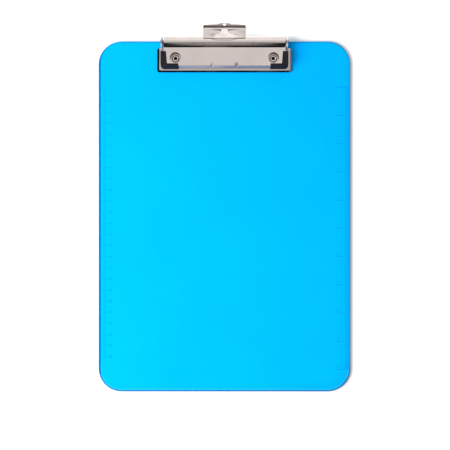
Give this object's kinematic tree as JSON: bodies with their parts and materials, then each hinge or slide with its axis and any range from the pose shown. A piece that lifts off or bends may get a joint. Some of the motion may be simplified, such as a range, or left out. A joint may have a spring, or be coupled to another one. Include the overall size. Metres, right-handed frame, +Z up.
{
  "type": "clipboard",
  "caption": "Flat moulded clipboard with rounded corners and a riveted spring clip: a wide jaw with corner grips, a pressing lever, and a hanging tongue that slides out of the lever.",
  "frame": {"origin": "centre of the board's underside, on the face it lies on", "axes": "+X across the board to the right, +Y along the board towards the clip, +Z up out of the writing face"},
  "size_m": [0.2266, 0.3293, 0.0219],
  "materials": {
    "board_plastic": "satin neon blue, slightly translucent",
    "base_steel": "bright nickel plate",
    "rivet_steel": "bright nickel plate",
    "clamp_steel": "bright nickel plate, warm tint",
    "pin_steel": "drawn wire",
    "spring_steel": "oiled spring wire",
    "grip_rubber": "matt black",
    "hanger_steel": "bright nickel plate",
    "guide_steel": "plain zinc plate"
  },
  "bodies": {
    "board_body": {"board": "board_plastic", "base_plate": "base_steel", "rivet_left": "rivet_steel", "rivet_right": "rivet_steel", "hinge_pin": "pin_steel", "torsion_spring": "spring_steel"},
    "clamp_body": {"clamp_plate": "clamp_steel", "hanger_guide": "guide_steel", "grip_left": "grip_rubber", "grip_right": "grip_rubber"},
    "hanger_body": {"hanger": "hanger_steel"}
  },
  "joints": [
    {"name": "clamp_hinge", "type": "hinge", "parent": "board_body", "child": "clamp_body", "pos_m": [0, 0.1564, 0.0103], "axis": [-1, 0, 0], "range_deg": [0, 30], "stiffness_Nm_per_rad": 0.35, "springref_deg": -48.7, "deforming": ["torsion_spring"]},
    {"name": "hanger_slide", "type": "slide", "parent": "clamp_body", "child": "hanger_body", "axis": [0, 0.848, 0.5299], "range_m": [0, 0.0085]}
  ]
}
